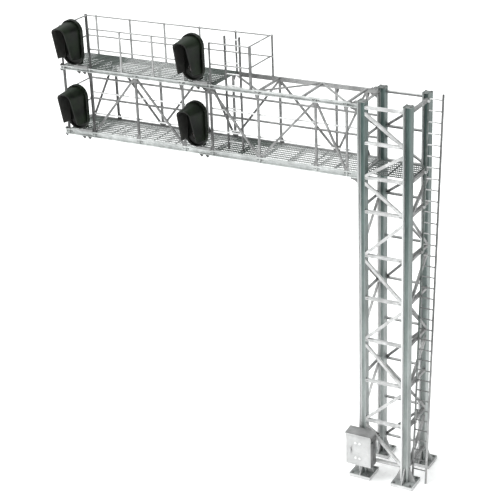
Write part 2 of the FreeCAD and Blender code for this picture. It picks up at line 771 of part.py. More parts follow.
def cabinet():
    """A small case for relays, strapped to the front left column, with one hinged door."""
    width, depth, height = (dim("cabinet_" + word) for word in ("width", "depth", "height"))
    wall, base = dim("cabinet_wall"), dim("cabinet_base")
    front = CABINET_BACK - depth
    right = CABINET_LEFT + width
    side = ("dim.cabinet_wall", "dim.cabinet_depth", "dim.cabinet_height")
    floor = ("dim.cabinet_width - 2 * dim.cabinet_wall", "dim.cabinet_depth", "dim.cabinet_wall")
    back = ("dim.cabinet_width - 2 * dim.cabinet_wall", "dim.cabinet_wall",
            "dim.cabinet_height - 2 * dim.cabinet_wall")
    walls = [
        block(side, (CABINET_LEFT, front, base)),
        block(side, (right - wall, front, base)),
        block(floor, (CABINET_LEFT + wall, front, base)),
        block(floor, (CABINET_LEFT + wall, front, base + height - wall)),
        block(back, (CABINET_LEFT + wall, CABINET_BACK - wall, base + wall)),
    ]
    group(walls, "cabinet_body")

    roof = doc.addObject("Part::Wedge", "roof")
    overhang = 0.15
    roof.setExpression("Xmin", "0")
    roof.setExpression("Xmax", "dim.cabinet_width + %.2f" % (2 * overhang))
    roof.setExpression("X2min", "0")
    roof.setExpression("X2max", "dim.cabinet_width + %.2f" % (2 * overhang))
    roof.setExpression("Ymin", "0")
    roof.setExpression("Ymax", "dim.cabinet_depth + dim.door_thickness + %.2f" % overhang)
    roof.setExpression("Zmin", "0")
    roof.setExpression("Zmax", "0.35")
    roof.setExpression("Z2min", "0")
    roof.setExpression("Z2max", "0.65")
    roof.Placement = Placement(
        Vector(CABINET_LEFT - overhang, front - dim("door_thickness") - overhang, base + height),
        Rotation())
    node(roof, "cabinet_roof")

    bracket_size = ("dim.column_width + 1.2", "0.25", "0.9")
    straps = [block(bracket_size, (-HALF_SPACING - 1.65, CABINET_BACK, z))
              for z in (base + 1.2, base + height - 2.1)]
    group(straps, "cabinet_straps")

    board = ("dim.cabinet_width - 2.2", "0.3", "dim.cabinet_height - 2.4")
    rail = ("dim.cabinet_width - 3", "0.5", "0.8")
    panel = block(board, (CABINET_LEFT + 1.1, CABINET_BACK - wall - 0.3, base + 1.2))
    strips = [block(rail, (CABINET_LEFT + 1.5, CABINET_BACK - wall - 0.8, base + z))
              for z in (2.2, 4.3, 6.4)]
    group([panel] + strips, "cabinet_terminals")
    cabinet_door(front, right, base)


def cabinet_door(front, right, base):
    gap, thick = dim("door_gap"), dim("door_thickness")
    height = dim("cabinet_height")
    hinge_x, hinge_y = right + 0.3, front - gap - thick / 2
    door_height = "dim.cabinet_height - 2 * dim.door_gap"
    barrel_low, barrel_high = base + 2.2, base + height - 2.2
    barrel_height = "%.4f" % (barrel_high - barrel_low)

    leaf = block(("dim.cabinet_width - 0.1", "dim.door_thickness", door_height),
                 (CABINET_LEFT, front - gap - thick, base + gap))
    tongue = block(("%.4f" % (hinge_x - right + 0.1), "0.3", barrel_height),
                   (right - 0.1, hinge_y - 0.15, barrel_low))
    barrel = rod("dim.hinge_radius", barrel_height, (hinge_x, hinge_y, barrel_low))
    bore = rod("dim.hinge_bore_radius", barrel_height + " + 2", (hinge_x, hinge_y, barrel_low - 1))
    solid_door = fuse_all([leaf, tongue, barrel])
    node(combine("Cut", solid_door, bore), "cabinet_door")

    pin = rod("dim.hinge_pin_radius", "%.4f" % (height - 3.4), (hinge_x, hinge_y, base + 1.7))
    node(pin, "cabinet_hinge_pin")

    lugs = []
    for z in (base + 1.7, barrel_high + 0.05):
        cheek = block(("%.4f" % (hinge_x - right), "%.4f" % (front + 0.6 - hinge_y), "0.45"),
                      (right, hinge_y, z))
        eye = rod("dim.hinge_radius", "0.45", (hinge_x, hinge_y, z))
        hole = rod("dim.hinge_pin_radius", "3", (hinge_x, hinge_y, z - 1))
        lugs.append(combine("Cut", combine("Fuse", cheek, eye), hole))
    group(lugs, "cabinet_hinge_lugs")

    face = front - gap - thick
    handle_z = base + height / 2 - 0.9
    grip = block(("0.3", "0.25", "1.7"), (CABINET_LEFT + 1.35, face - 0.5, handle_z))
    spindle = block(("0.3", "0.25", "0.5"), (CABINET_LEFT + 1.35, face - 0.25, handle_z + 0.6))
    node(combine("Fuse", grip, spindle), "cabinet_handle")

    studs = [rod("0.32", "0.2", (CABINET_LEFT + x, face, base + z), FACING_FRONT)
             for x in (2.9, 4.1) for z in (2.4, 7.0)]
    group(studs, "cabinet_studs")


# ---------------------------------------------------------------- signal heads

PLATE_BACK = 0.4


def head_bracket(x, z, chord_height, label):
    """A bar on the chord with the pin the head turns on, and two clamp studs below."""
    width = dim("bracket_width")
    arm = block(("dim.bracket_reach + 0.7", "dim.bracket_width", "dim.bracket_height"),
                (-0.7, -width / 2, 0))
    collar = rod("0.6", "dim.head_lift - dim.bracket_height - 0.05",
                 (0, 0, dim("bracket_height")))
    pin = rod("dim.pivot_radius", "dim.pivot_length", (0, 0, dim("bracket_height")))
    pieces = [fuse_all([arm, collar, pin])]
    for stud_x in (0.4, 2.2):
        pieces.append(rod("dim.stud_radius", "dim.stud_length",
                          (stud_x, 0.45, -chord_height - dim("stud_length"))))
    return group(pieces, label + "_bracket", Placement(Vector(x, HEAD_Y, z), Rotation()))


def head_housing(place, label):
    """The case behind the backplate, with a blind socket for the pivot pin."""
    body = doc.addObject("PartDesign::Body", "housing")
    outline = arch_sketch(body, PLATE_BACK, {
        "half_width": sized("dim.housing_half_width"), "corner": sized("dim.housing_corner"),
        "crown": sized("dim.housing_height"), "foot": (0.0, "0")})
    pad(body, outline, "dim.housing_depth", reverse=True)
    socket = new_sketch(body, "XY_Plane")
    circle = socket.addGeometry(Part.Circle(Vector(0, 0, 0), Vector(0, 0, 1),
                                            dim("pivot_bore_radius")))
    constrain(socket, "Coincident", circle, 3, -1, 1)
    bore = constrain(socket, "Radius", circle, dim("pivot_bore_radius"))
    socket.setExpression("Constraints[%d]" % bore, "dim.pivot_bore_radius")
    body.Tip = pocket(body, socket, "dim.pivot_length", reverse=True)
    body.Placement = place
    return node(body, label + "_housing")


def backplate_body():
    """An oblong plate with round ends and a rim round its sunken face."""
    body = doc.addObject("PartDesign::Body", "backplate")
    depth = dim("plate_depth")
    outline = slot_sketch(body, PLATE_BACK, dim("plate_radius"), 0.0, dim("plate_height"),
                          ("dim.plate_radius", "0", "dim.plate_height"))
    pad(body, outline, "dim.plate_depth")
    inner = slot_sketch(body, PLATE_BACK + depth, dim("plate_radius") - dim("plate_rim"),
                        dim("plate_rim"), dim("plate_height") - dim("plate_rim"),
                        ("dim.plate_radius - dim.plate_rim", "dim.plate_rim",
                         "dim.plate_height - dim.plate_rim"))
    body.Tip = pocket(body, inner, "dim.plate_recess")
    return body


def hood_section(body, offset, station, inside):
    """One outline of the hood: its outer skin, or the hollow a wall's thickness inside it."""
    thinner = " - dim.hood_wall" if inside else ""
    prefix = "dim.hood_%s_" % station
    lower = " - 2" if inside else ""
    return arch_sketch(body, offset, {
        "half_width": sized(prefix + "half_width" + thinner),
        "corner": sized(prefix + "corner" + thinner),
        "crown": sized(prefix + "crown" + thinner),
        "foot": sized(prefix + "foot" + lower)})


def head_hood(backplate, place, label):
    """A long visor that narrows to its mouth, open below and at the front."""
    body = doc.addObject("PartDesign::Body", "hood")
    start = PLATE_BACK + dim("plate_depth") - dim("plate_recess")
    end = start + dim("hood_length")
    shell = body.newObject("PartDesign::AdditiveLoft", "outside")
    shell.Profile = hood_section(body, start, "base", inside=False)
    shell.Sections = [hood_section(body, end, "mouth", inside=False)]
    shell.Ruled = True
    hollow = body.newObject("PartDesign::SubtractiveLoft", "inside")
    hollow.Profile = hood_section(body, start, "base", inside=True)
    hollow.Sections = [hood_section(body, end, "mouth", inside=True)]
    hollow.Ruled = True
    body.Tip = hollow

    height, reach = dim("plate_height"), dim("plate_radius")
    slant = math.degrees(math.atan2(dim("hood_slant"), height))
    trimmer = block(("3 * dim.plate_radius", "dim.hood_length", "2 * dim.plate_height"),
                    (0, 0, 0))
    to_mouth = Placement(Vector(0, -end, dim("hood_mouth_crown")),
                         Rotation(Vector(1, 0, 0), slant))
    to_corner = Placement(Vector(-1.5 * reach, -dim("hood_length"), -1.5 * height), Rotation())
    trimmer.Placement = to_mouth * to_corner
    hood = combine("Cut", combine("Cut", body, trimmer), backplate)
    hood.Placement = place
    return node(hood, label + "_hood")


def head_lenses(place, label):
    """Three domed lenses, one above another, on the sunken face of the backplate."""
    aperture, height = dim("lens_radius"), dim("lens_height")
    dome = (aperture ** 2 + height ** 2) / (2 * height)
    latitude = math.degrees(math.asin((dome - height) / dome))
    face = PLATE_BACK + dim("plate_depth") - dim("plate_recess")
    middle = dim("plate_height") / 2
    caps = []
    for step in (-1, 0, 1):
        cap = doc.addObject("Part::Sphere", "lens")
        cap.setExpression("Radius", "(dim.lens_radius ^ 2 + dim.lens_height ^ 2)"
                                    " / (2 * dim.lens_height)")
        cap.Angle1 = latitude
        cap.Angle2 = 90
        z = middle + step * dim("lens_pitch")
        cap.Placement = Placement(Vector(0, -face + dome - height, z), FACING_FRONT)
        caps.append(cap)
    return group(caps, label + "_lenses", place)


HEAD_Y = -6.6
HEAD_OFFSET = 0.3


def signal_heads():
    outer = (STATIONS[0] + STATIONS[1]) / 2 + HEAD_OFFSET
    inner = (STATIONS[3] + STATIONS[4]) / 2 + HEAD_OFFSET
    levels = (("lower", BOTTOM_CHORD_TOP, dim("bottom_chord_height")),
              ("upper", TOP_CHORD_TOP, dim("top_chord_height")))
    for x, word in ((outer, "outer"), (inner, "inner")):
        for level, z, chord_height in levels:
            label = "%s_%s_head" % (level, word)
            head_bracket(x, z, chord_height, label)
            place = Placement(Vector(x, HEAD_Y, z + dim("head_lift")), Rotation())
            head_housing(place, label)
            plate = backplate_body()
            head_hood(plate, place, label)
            group([plate], label + "_backplate", place)
            head_lenses(place, label)


def check_document():
    doc.recompute()
    for thing in doc.Objects:
        if "Invalid" in thing.State or "Error" in thing.State:
            raise RuntimeError("%s failed: %s" % (thing.Name, thing.State))
    for thing in nodes:
        if thing.Shape.isNull() or not thing.Shape.isValid():
            raise RuntimeError("%s has no valid shape" % thing.Label)
        if not thing.Shape.Solids:
            raise RuntimeError("%s holds no solid" % thing.Label)


def export_nodes():
    os.makedirs("parts", exist_ok=True)
    for thing in nodes:
        thing.Shape.exportStep("parts/%s.step" % thing.Label)


tower_legs()
tower_bracing()
mast_ladder()
chords()
arm_webs()
cross_members()
arm_gussets()
gratings()
lower_rails()
upper_railing()
access_ladder()
cabinet()
signal_heads()
check_document()
export_nodes()
for thing in nodes:
    print("%-28s solids %3d  volume %8.2f" % (
        thing.Label, len(thing.Shape.Solids), thing.Shape.Volume))
print("nodes", len(nodes))
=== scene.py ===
import math

import bmesh
import bpy
from mathutils import Matrix, Vector


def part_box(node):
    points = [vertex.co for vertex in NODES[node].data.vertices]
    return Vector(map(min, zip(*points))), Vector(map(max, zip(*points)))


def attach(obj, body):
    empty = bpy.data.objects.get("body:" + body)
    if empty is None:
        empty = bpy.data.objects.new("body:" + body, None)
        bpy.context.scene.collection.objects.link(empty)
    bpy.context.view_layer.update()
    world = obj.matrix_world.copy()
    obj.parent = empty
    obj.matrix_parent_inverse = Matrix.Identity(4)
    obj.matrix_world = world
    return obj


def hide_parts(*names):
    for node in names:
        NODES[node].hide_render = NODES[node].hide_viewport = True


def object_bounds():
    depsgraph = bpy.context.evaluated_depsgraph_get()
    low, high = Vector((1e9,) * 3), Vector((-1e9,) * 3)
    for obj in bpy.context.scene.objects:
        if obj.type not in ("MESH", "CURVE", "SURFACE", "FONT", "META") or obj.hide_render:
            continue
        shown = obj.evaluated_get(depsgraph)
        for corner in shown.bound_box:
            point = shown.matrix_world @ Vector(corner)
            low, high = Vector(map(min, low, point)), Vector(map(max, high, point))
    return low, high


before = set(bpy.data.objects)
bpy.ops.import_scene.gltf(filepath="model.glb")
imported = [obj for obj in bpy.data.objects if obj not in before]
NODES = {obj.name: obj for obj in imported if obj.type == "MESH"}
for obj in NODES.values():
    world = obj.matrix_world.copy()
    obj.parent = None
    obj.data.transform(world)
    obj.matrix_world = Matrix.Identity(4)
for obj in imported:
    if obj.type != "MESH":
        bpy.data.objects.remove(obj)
CAD_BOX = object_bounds()
MM = 0.001
HEADS = ("lower_outer_head", "upper_outer_head", "lower_inner_head", "upper_inner_head")
GRATINGS = ("lower_grating", "tower_grating", "upper_grating")
UP, DOWN, FRONT, BACK = (0, 0, 1), (0, 0, -1), (0, -1, 0), (0, 1, 0)

# ------------------------------------------------------------ dimensions, in millimetres

CORNERS = tuple((x, y) for x in (-1, 1) for y in (-1, 1))
COLUMN = 6.125                      # middle of the tower to the middle of a column
FACE = 7.175                        # middle of the tower to the outside of a column
COLUMN_TOP = 107.2
BASE_TOP = 1.0                      # upper side of the base plates
UPPER_LEVELS = tuple(105.9 - 9.2 * step for step in range(4))
LOWER_LEVELS = tuple(78.3 - 12.13 * step for step in range(1, 7))
STRUT_LEVELS = UPPER_LEVELS + LOWER_LEVELS
BARE_LEVELS = {-1: (4, 6, 8), 1: (1,)}      # where the left and the right face have no strut

STATIONS = (-95.4, -86.9, -72.4, -57.9, -49.4, -35.4, -19.0, -10.4)     # bay points of the arm
BOTTOM_CHORD_TOP = 88.3
TOP_CHORD_BASE = 105.35
TOP_CHORD_TOP = 106.45
CHORDS = ((86.7, 1.6), (TOP_CHORD_BASE, 1.1))       # underside and height of the channels
CHORD_OUTER = 6.5                   # middle of the arm to the outer edges of the channels
CHORD_WEB = 6.02                    # and to the outer sides of their webs
HEAD_X = (-90.85, -53.35)           # middles of the outer and the inner heads
LENS_GAP = 3.15                     # from one lens to the next
RECESS = 0.6                        # a head's face lies halfway down its backplate's depth


# ------------------------------------------------------------ node helpers

COLOUR_MIX_INPUTS = (0, 6, 7)       # factor, A and B of a Mix node set to colour
COLOUR_MIX_OUTPUT = 2


class Look:
    """One procedural material and the shorthands that wire its nodes."""

    def __init__(self, name):
        self.material = bpy.data.materials.new(name)
        self.material.use_nodes = True
        self.tree = self.material.node_tree
        self.shader = self.tree.nodes["Principled BSDF"]

    def node(self, kind, **settings):
        """A new node, with these attributes set."""
        made = self.tree.nodes.new(kind)
        for key, value in settings.items():
            setattr(made, key, value)
        return made

    def feed(self, socket, value):
        """Give a socket a number, a colour or another node's output."""
        if isinstance(value, (float, int)):
            socket.default_value = value
        elif isinstance(value, tuple):
            socket.default_value = value + (1.0,)
        else:
            self.tree.links.new(value, socket)

    def place(self, stretch=(1, 1, 1)):
        """Coordinates in metres in the row frame, stretched so a pattern can run one way."""
        mapping = self.node("ShaderNodeMapping")
        mapping.inputs["Scale"].default_value = stretch
        self.feed(mapping.inputs["Vector"], self.node("ShaderNodeTexCoord").outputs["Object"])
        return mapping.outputs["Vector"]

    def axis(self, letter, kind="Object"):
        """One component of the position (in metres) or of the normal, in the row frame."""
        split = self.node("ShaderNodeSeparateXYZ")
        self.feed(split.inputs["Vector"], self.node("ShaderNodeTexCoord").outputs[kind])
        return split.outputs[letter]

    def noise(self, scale, detail=4.0, roughness=0.6, stretch=(1, 1, 1)):
        texture = self.node("ShaderNodeTexNoise")
        texture.inputs["Scale"].default_value = scale
        texture.inputs["Detail"].default_value = detail
        texture.inputs["Roughness"].default_value = roughness
        self.feed(texture.inputs["Vector"], self.place(stretch))
        return texture.outputs["Fac"]

    def remap(self, value, low, high, to_low=0.0, to_high=1.0):
        """A value carried from one range to another, and held at the ends."""
        made = self.node("ShaderNodeMapRange")
        self.feed(made.inputs["Value"], value)
        for socket, number in (("From Min", low), ("From Max", high),
                               ("To Min", to_low), ("To Max", to_high)):
            made.inputs[socket].default_value = number
        return made.outputs["Result"]

    def maths(self, operation, first, second):
        made = self.node("ShaderNodeMath", operation=operation)
        self.feed(made.inputs[0], first)
        self.feed(made.inputs[1], second)
        return made.outputs[0]

    def mix(self, factor, first, second):
        """From the first colour at 0 to the second at 1."""
        made = self.node("ShaderNodeMix", data_type="RGBA")
        for socket, value in zip(COLOUR_MIX_INPUTS, (factor, first, second)):
            self.feed(made.inputs[socket], value)
        return made.outputs[COLOUR_MIX_OUTPUT]

    def bump(self, height, strength, depth):
        """Fine relief, its depth in mm."""
        made = self.node("ShaderNodeBump")
        made.inputs["Strength"].default_value = strength
        made.inputs["Distance"].default_value = depth * MM
        self.feed(made.inputs["Height"], height)
        self.feed(self.shader.inputs["Normal"], made.outputs["Normal"])

    def finish(self, colour, roughness, metallic=0.0):
        """Close the material with its last values."""
        self.feed(self.shader.inputs["Base Color"], colour)
        self.feed(self.shader.inputs["Roughness"], roughness)
        self.shader.inputs["Metallic"].default_value = metallic
        return self.material


ROUGH = (0.38, 0.6)                 # least and greatest roughness of painted metal
DULL = (0.45, 0.65)
LENGTHWAYS = (1, 1, 0.3)            # a pattern drawn out along Z
PATCH_SHADE = (0.050, 0.072, 0.060)        # the dark green of the gratings' painted shade patches
# painted shade: stretches of the gratings darkened green, each (centre, half width) along X in
# mm
LOWER_SHADE_PATCHES = ((-94, 12), (-43, 9))
UPPER_SHADE_PATCHES = ((-87, 8), (-50, 13))


def grey(level, green=0.0):
    """A near-neutral colour, a touch green when asked."""
    return (level * (1 - green), level, level * (1 - 0.35 * green))


def sprayed(look, dark, light, grain=(1, 1, 1)):
    """Mottled zinc paint: cloudy patches, longer streaks and darker specks.

    Returns the colour, and the streaks for the roughness to follow.
    """
    mottle = look.noise(420, 5.0, 0.62, grain)
    streak = look.noise(120, 3.0, 0.5, grain)
    speck = look.noise(1500, 2.0, 0.5)
    colour = look.mix(look.remap(mottle, 0.34, 0.66), dark, light)
    shade = tuple(0.7 * part for part in dark)
    colour = look.mix(look.remap(streak, 0.5, 0.75, 0.0, 0.55), colour, shade)
    return look.mix(look.remap(speck, 0.62, 0.75, 0.0, 0.35), colour, shade), streak


def metal(name, dark, light, metallic=0.3, rough=ROUGH, zones=(), sides=None, patches=()):
    """Sprayed metal in two mottled tones.

    Each zone is (axis, from, to, dark, light), another pair of tones reached along an axis in
    mm; sides is a pair of tones for upright faces, painted light and shade; patches are dark
    green stretches of painted shade, each (centre, half width) along X in mm.
    """
    look = Look(name)
    colour, streak = sprayed(look, dark, light)
    for letter, start, end, other_dark, other_light in zones:
        other, _ = sprayed(look, other_dark, other_light)
        reached = look.remap(look.axis(letter), start * MM, end * MM)
        colour = look.mix(reached, colour, other)
    # painted light and shade: upright faces take their own pair of tones
    if sides:
        edge, _ = sprayed(look, *sides)
        upright = look.remap(look.axis("Z", "Normal"), 0.6, 0.3)
        colour = look.mix(upright, colour, edge)
    # painted shade: ragged dark green stretches along X
    for centre, half in patches:
        away = look.maths("ABSOLUTE", look.maths("SUBTRACT", look.axis("X"), centre * MM), 0.0)
        wander = look.remap(look.noise(150), 0.3, 0.7, -4 * MM, 4 * MM)
        ragged = look.maths("ADD", away, wander)
        near = look.remap(ragged, half * MM, 0.4 * half * MM, 0.0, 0.9)
        colour = look.mix(near, colour, PATCH_SHADE)
    look.bump(look.noise(3200, 2.0, 0.5), 0.3, 0.05)
    return look.finish(colour, look.remap(streak, 0.3, 0.7, *rough), metallic)


def lattice_metal(name):
    """The front struts: painted light and shade, pale on top and in front, dark on every other
    side.
    """
    look = Look(name)
    bright, streak = sprayed(look, grey(0.50), grey(0.78))
    front, _ = sprayed(look, grey(0.40), grey(0.70))
    shaded_sides, _ = sprayed(look, grey(0.07), grey(0.15))
    # painted light and shade: faces turned up lit pale, front faces mid, every other side
    # shaded dark
    facing = look.remap(look.axis("Y", "Normal"), -0.5, -0.8)
    colour = look.mix(facing, shaded_sides, front)
    colour = look.mix(look.remap(look.axis("Z", "Normal"), 0.3, 0.6), colour, bright)
    look.bump(look.noise(3200, 2.0, 0.5), 0.3, 0.05)
    return look.finish(colour, look.remap(streak, 0.3, 0.7, *ROUGH), 0.3)


def column_metal(name):
    """The legs: pale at the foot, darker and greener higher up, which is painted light: the
    floor's bounce at the foot and dark reflections higher up.

    A strip along each leg's left edge is painted pale as a highlight on the lit flange, and its
    right edge a little.
    """
    look = Look(name)
    low, streak = sprayed(look, (0.262, 0.286, 0.278), (0.436, 0.464, 0.456), LENGTHWAYS)
    high, _ = sprayed(look, (0.048, 0.080, 0.074), (0.096, 0.150, 0.140), LENGTHWAYS)
    # painted light: paler at the foot for the floor's bounce, darker and greener higher up for
    # dark reflections
    colour = look.mix(look.remap(look.axis("Z"), 6 * MM, 86 * MM), low, high)
    spacing = 2 * COLUMN * MM
    across = look.maths("ADD", look.axis("X"), FACE * MM + spacing)
    across = look.maths("MODULO", across, spacing)
    # painted highlight: a pale strip down each leg's left edge for the lit flange, and faintly
    # down its right edge
    rise = look.remap(look.axis("Z"), 68 * MM, 98 * MM)
    pale = look.mix(rise, grey(0.76), grey(0.34, 0.05))
    strip = look.remap(look.axis("X"), -1 * MM, 1 * MM, 0.76 * MM, 0.48 * MM)
    past_strip = look.maths("SUBTRACT", across, strip)
    colour = look.mix(look.remap(past_strip, 0.06 * MM, -0.06 * MM), colour, pale)
    right_edge_highlight = look.remap(across, 1.78 * MM, 1.86 * MM, 0.0, 0.12)
    colour = look.mix(right_edge_highlight, colour, pale)
    look.bump(look.noise(2600, 2.0, 0.5), 0.3, 0.05)
    return look.finish(colour, look.remap(streak, 0.3, 0.7, 0.36, 0.55), 0.3)


def moulded_black(name, dark, light, rough=(0.36, 0.5)):
    """Satin black plastic with a faint green cast.

    Faces turned towards their own head's middle, which are the insides of the hoods, are
    painted lighter for the light falling into them, and faces turned to the front are painted
    darker: painted light and shade.
    """
    look = Look(name)
    cloud = look.noise(230, 4.0, 0.65)
    colour = look.mix(look.remap(cloud, 0.38, 0.64), dark, light)
    # painted light: faces turned towards the head's middle, the insides of the hoods, made
    # lighter
    apart = (HEAD_X[1] - HEAD_X[0]) * MM
    across = look.maths("ADD", look.axis("X"), apart / 2 - HEAD_X[0] * MM)
    across = look.maths("SUBTRACT", look.maths("MODULO", across, apart), apart / 2)
    facing = look.maths("MULTIPLY", across, look.axis("X", "Normal"))
    inside = look.remap(facing, -0.3 * MM, -0.6 * MM)
    painted_inner_light = look.mix(look.remap(look.noise(900), 0.35, 0.65), (0.040, 0.040, 0.038),
                     (0.066, 0.066, 0.062))
    colour = look.mix(inside, colour, painted_inner_light)
    # painted shade: faces turned to the front darkened
    forward = look.remap(look.axis("Y", "Normal"), -0.8, -0.9, 0.0, 0.8)
    colour = look.mix(forward, colour, (0.002, 0.002, 0.002))
    look.bump(look.noise(2600, 3.0, 0.55), 0.25, 0.04)
    look.shader.inputs["Specular IOR Level"].default_value = 0.24
    return look.finish(colour, look.remap(cloud, 0.3, 0.7, *rough))


def lens_plastic(name, tint):
    """An unlit coloured lens: dark and glossy."""
    look = Look(name)
    cloud = look.noise(500, 3.0, 0.5)
    shade = tuple(0.4 * part for part in tint)
    colour = look.mix(look.remap(cloud, 0.3, 0.7), shade, tint)
    look.shader.inputs["Coat Weight"].default_value = 0.6
    look.shader.inputs["Coat Roughness"].default_value = 0.05
    look.bump(look.noise(1800, 2.0, 0.5), 0.15, 0.03)
    return look.finish(colour, look.remap(cloud, 0.3, 0.7, 0.06, 0.14))


def floor_paper(name):
    """White paper on a light table, so no shadow shows on it."""
    look = Look(name)
    colour = look.mix(look.noise(60, 4.0, 0.6), grey(0.92), grey(0.95))
    look.shader.inputs["Emission Color"].default_value = (1, 1, 1, 1)
    look.shader.inputs["Emission Strength"].default_value = 0.3
    return look.finish(colour, 0.9)


# sides= gives upright faces their own tones and patches= dark green stretches: both painted
# light and shade
LOOKS = {
    "column": column_metal("column_zinc"),
    "cap": metal("column_cap_zinc", grey(0.13, 0.10), grey(0.32, 0.06)),
    "base": metal("base_plate_zinc", grey(0.20, 0.06), grey(0.46, 0.04),
                  sides=(grey(0.56), grey(0.74))),
    "gusset": metal("gusset_zinc", grey(0.40), grey(0.64)),
    "lattice": lattice_metal("lattice_zinc"),
    "back_lattice": metal("back_lattice_zinc", grey(0.50), grey(0.72),
                          sides=(grey(0.18), grey(0.34))),
    # the side faces' struts, the same zinc as the front ones but darker: painted shade
    "shaded_side_lattice": metal("shaded_side_lattice_zinc", grey(0.16), grey(0.34)),
    "front_chord": metal("front_chord_zinc", grey(0.46, 0.04), grey(0.76, 0.02)),
    "back_chord": metal("back_chord_zinc", grey(0.09), grey(0.16),
                        zones=(("X", -45, -30, grey(0.28), grey(0.44)),)),
    "web": metal("arm_web_zinc", grey(0.13), grey(0.27),
                 zones=(("X", -60, -25, grey(0.18), grey(0.38)),
                        ("X", -82, -86, grey(0.06), grey(0.14)))),
    "lacing": metal("lacing_zinc", grey(0.14), grey(0.28),
                    zones=(("X", -45, -30, grey(0.24), grey(0.44)),)),
    "lower_grating": metal("lower_grating_zinc", grey(0.24, 0.06), grey(0.44, 0.04),
                           rough=DULL, sides=(grey(0.12), grey(0.24)),
                           patches=LOWER_SHADE_PATCHES),
    "lower_wire": metal("lower_wire_zinc", grey(0.84, 0.04), grey(0.99, 0.02), metallic=0.1,
                        rough=DULL, sides=(grey(0.66), grey(0.84)), patches=LOWER_SHADE_PATCHES),
    "upper_grating": metal("upper_grating_zinc", grey(0.26, 0.06), grey(0.46, 0.04),
                           rough=DULL, sides=(grey(0.10), grey(0.20)),
                           patches=UPPER_SHADE_PATCHES),
    "upper_wire": metal("upper_wire_zinc", grey(0.72, 0.04), grey(0.97, 0.02), metallic=0.1,
                        rough=DULL, sides=(grey(0.32), grey(0.50)), patches=UPPER_SHADE_PATCHES),
    "tower_grating": metal("tower_grating_zinc", grey(0.09, 0.10), grey(0.20, 0.08),
                           rough=DULL),
    "tower_wire": metal("tower_wire_zinc", grey(0.16, 0.08), grey(0.30, 0.05), rough=DULL),
    "bearer": metal("bearer_zinc", grey(0.46), grey(0.70)),
    "lower_rail": metal("lower_rail_zinc", grey(0.60), grey(0.78),
                        zones=(("Y", -2, 2, grey(0.20), grey(0.34)),)),
    "upper_rail": metal("upper_rail_zinc", grey(0.26), grey(0.42),
                        zones=(("Y", -2, 2, grey(0.24), grey(0.40)),)),
    "post": metal("upper_post_zinc", grey(0.32), grey(0.50),
                  zones=(("X", -58, -52, grey(0.12), grey(0.24)),
                         ("X", -84, -85.5, grey(0.05), grey(0.10)),
                         ("X", -88, -90, grey(0.32), grey(0.50)),
                         ("X", -94.0, -94.6, grey(0.025), grey(0.05)))),
    "ladder_rail": metal("ladder_rail_zinc", grey(0.10, 0.20), grey(0.20, 0.12),
                         zones=(("X", 8.5, 9.0, grey(0.11), grey(0.20)),
                                ("Z", 45, 15, grey(0.32), grey(0.50)))),
    "rung": metal("rung_zinc", grey(0.66), grey(0.84),
                  zones=(("X", 8.8, 9.6, grey(0.34), grey(0.52)),
                         ("Z", 80, 55, grey(0.16), grey(0.32)))),
    "access_rail": metal("access_ladder_zinc", grey(0.09), grey(0.20)),
    "door": metal("cabinet_door_paint", grey(0.52), grey(0.63), metallic=0.1,
                  zones=(("X", -2.15, -2.05, grey(0.11), grey(0.17)),)),
    "case": metal("cabinet_case_paint", grey(0.11), grey(0.17), metallic=0.1),
    "roof": metal("cabinet_roof_paint", grey(0.19), grey(0.29), metallic=0.1),
    "fitting": metal("fitting_metal", grey(0.14), grey(0.26)),
    "bracket": metal("bracket_zinc", grey(0.24), grey(0.44)),
    "dark_fitting": metal("dark_fitting_metal", grey(0.03), grey(0.07)),
    # near-white cabinet studs: painted highlight for their glints
    "bright": metal("stud_glint_metal", grey(0.86), grey(0.94)),
    "black": moulded_black("head_black", (0.0010, 0.0020, 0.0008), (0.0090, 0.0170, 0.0070)),
    # a glossier black for small fittings, its lighter tone a painted highlight for their glints
    "worn_black": moulded_black("worn_black", (0.020, 0.022, 0.020), (0.055, 0.060, 0.055),
                                rough=(0.25, 0.4)),
    "green_lens": lens_plastic("green_lens", (0.002, 0.022, 0.012)),
    "yellow_lens": lens_plastic("yellow_lens", (0.040, 0.020, 0.002)),
    "red_lens": lens_plastic("red_lens", (0.030, 0.003, 0.002)),
}

NODE_LOOKS = {
    "base_plates": "base", "base_gussets": "gusset",
    "tower_bracing_left": "shaded_side_lattice", "tower_bracing_right": "shaded_side_lattice",
    "tower_bracing_front": "lattice", "tower_bracing_back": "back_lattice",
    "top_chord_back": "back_chord", "bottom_chord_back": "lacing",
    "arm_posts": "web", "arm_braces": "web", "arm_gussets": "fitting",
    "top_lacing": "lacing", "floor_bearers": "bearer",
    "lower_rails": "lower_rail", "upper_rails": "upper_rail", "upper_posts": "post",
    "mast_ladder_rails": "ladder_rail", "mast_ladder_rungs": "rung",
    "mast_ladder_clips": "rung", "access_ladder_rails": "access_rail",
    "access_ladder_rungs": "rung",
    "cabinet_door": "door", "cabinet_body": "case", "cabinet_roof": "roof",
    "cabinet_studs": "bright", "cabinet_handle": "lattice", "cabinet_terminals": "black",
    "cabinet_hinge_lugs": "case", "cabinet_hinge_pin": "case", "cabinet_straps": "dark_fitting",
}


def look_of(name):
    """The look of a CAD node: its own, or the one of its family."""
    if name in NODE_LOOKS:
        return NODE_LOOKS[name]
    if name.startswith("column_"):
        return "column"
    if name in GRATINGS:
        return name
    if name.endswith("_head_bracket"):
        return "bracket"
    if "_head_" in name:
        return "black"
    return "front_chord"


for node_name, node_object in NODES.items():
    node_object.data.materials.clear()
    node_object.data.materials.append(LOOKS[look_of(node_name)])


# ------------------------------------------------------------ mesh helpers

def aimed(point, normal=UP):
    """A place at a point in mm, its Z along the normal."""
    turn = Vector(UP).rotation_difference(Vector(normal)).to_matrix().to_4x4()
    return Matrix.Translation(Vector(point) * MM) @ turn @ Matrix.Scale(MM, 4)


